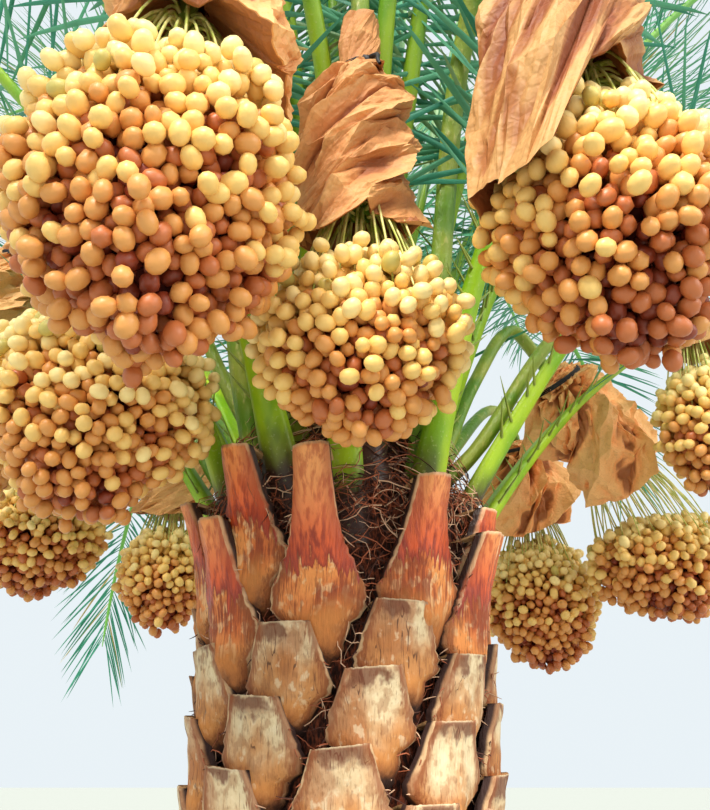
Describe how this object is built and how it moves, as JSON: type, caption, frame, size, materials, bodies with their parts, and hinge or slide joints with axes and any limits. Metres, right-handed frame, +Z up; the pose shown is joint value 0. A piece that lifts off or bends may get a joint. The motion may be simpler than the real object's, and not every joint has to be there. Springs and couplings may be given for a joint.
{
  "type": "date palm",
  "caption": "Fruiting date palm: a stout trunk clad in cut leaf bases, an arching crown of feathery fronds, and hanging bunches of ripening dates under crumpled paper wraps.",
  "frame": {"origin": "middle of the flat cut under the trunk, at ground level", "axes": "+Z up along the trunk, -Y towards the side that the picture was taken from, +X to the right in it"},
  "size_m": [6.0946, 5.8547, 4.7157],
  "materials": {
    "trunk": "rough, weathered tan and red-brown leaf bases",
    "heart": "green leaf bases in brown fibre",
    "frond": "satin green leaflets on a smooth green rib",
    "fruit": "smooth golden-tan skin with a soft bloom",
    "wrap": "crumpled matt brown paper"
  },
  "bodies": {
    "root": {"bunch_back": "fruit", "bunch_back_left_in": "fruit", "bunch_back_left_out": "fruit", "bunch_back_right_in": "fruit", "bunch_back_right_out": "fruit", "bunch_front": "fruit", "bunch_front_left": "fruit", "bunch_front_right": "fruit", "bunch_left": "fruit", "bunch_low_left": "fruit", "bunch_right": "fruit", "frond_01_inner": "frond", "frond_01_outer": "frond", "frond_02_inner": "frond", "frond_02_outer": "frond", "frond_03_inner": "frond", "frond_03_outer": "frond", "frond_04_inner": "frond", "frond_04_outer": "frond", "frond_05_inner": "frond", "frond_05_outer": "frond", "frond_06_inner": "frond", "frond_06_outer": "frond", "frond_07_inner": "frond", "frond_07_outer": "frond", "frond_08_inner": "frond", "frond_08_outer": "frond", "frond_09": "frond", "frond_10": "frond", "frond_11": "frond", "frond_12": "frond", "frond_13": "frond", "frond_14": "frond", "frond_15": "frond", "frond_16": "frond", "frond_17": "frond", "frond_18": "frond", "frond_19": "frond", "frond_20": "frond", "frond_21": "frond", "frond_22": "frond", "frond_23": "frond", "frond_24": "frond", "frond_25": "frond", "frond_26": "frond", "frond_27": "frond", "frond_28": "frond", "heart": "heart", "trunk": "trunk", "wrap_back": "wrap", "wrap_back_left_in": "wrap", "wrap_back_left_out": "wrap", "wrap_back_right_in": "wrap", "wrap_back_right_out": "wrap", "wrap_front": "wrap", "wrap_front_left": "wrap", "wrap_front_right": "wrap", "wrap_left": "wrap", "wrap_low_left": "wrap", "wrap_right": "wrap"}
  },
  "joints": []
}
